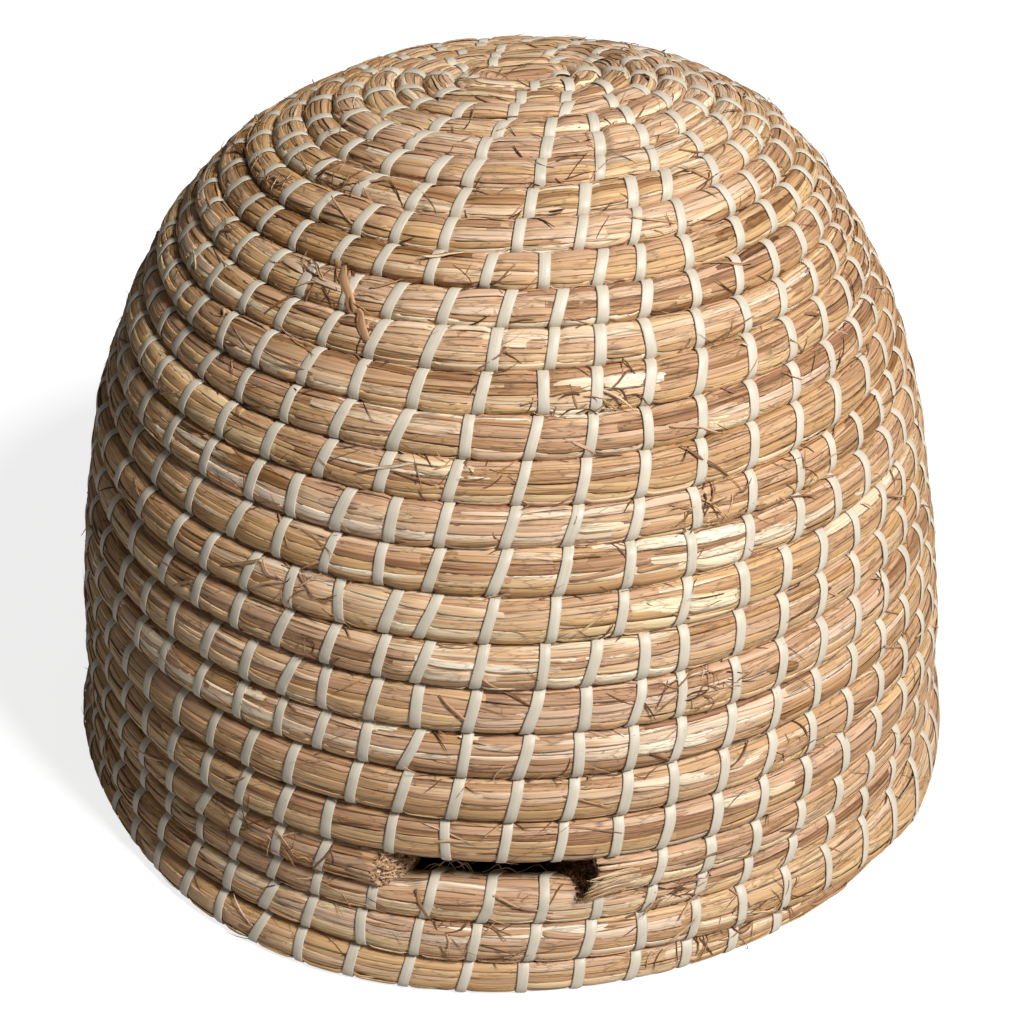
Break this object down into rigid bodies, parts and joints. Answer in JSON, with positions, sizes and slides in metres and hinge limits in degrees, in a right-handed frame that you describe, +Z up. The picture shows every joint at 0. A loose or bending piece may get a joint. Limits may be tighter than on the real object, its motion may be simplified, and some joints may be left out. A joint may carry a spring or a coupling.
{
  "type": "bee skep",
  "caption": "Domed straw hive, one spiral of thick straw rope bound with split cane, open at the base, with a slot entrance near the rim.",
  "frame": {"origin": "middle of the rim's underside, on the surface that the skep stands on", "axes": "+Z up through the crown, the entrance faces -Y"},
  "size_m": [0.4121, 0.4113, 0.3155],
  "materials": {
    "straw": "dry matt straw, golden to reddish brown, with glossy pale blades",
    "cane": "pale split cane, smooth and satin"
  },
  "bodies": {
    "root": {"binding_cane_01": "cane", "binding_cane_02": "cane", "binding_cane_03": "cane", "binding_cane_04": "cane", "binding_cane_05": "cane", "binding_cane_06": "cane", "binding_cane_07": "cane", "binding_cane_08": "cane", "binding_cane_09": "cane", "binding_cane_10": "cane", "binding_cane_11": "cane", "binding_cane_12": "cane", "binding_cane_13": "cane", "binding_cane_14": "cane", "binding_cane_15": "cane", "binding_cane_16": "cane", "binding_cane_17": "cane", "binding_cane_18": "cane", "binding_cane_19": "cane", "straw_rope_lower": "straw", "straw_rope_upper": "straw"}
  },
  "joints": []
}
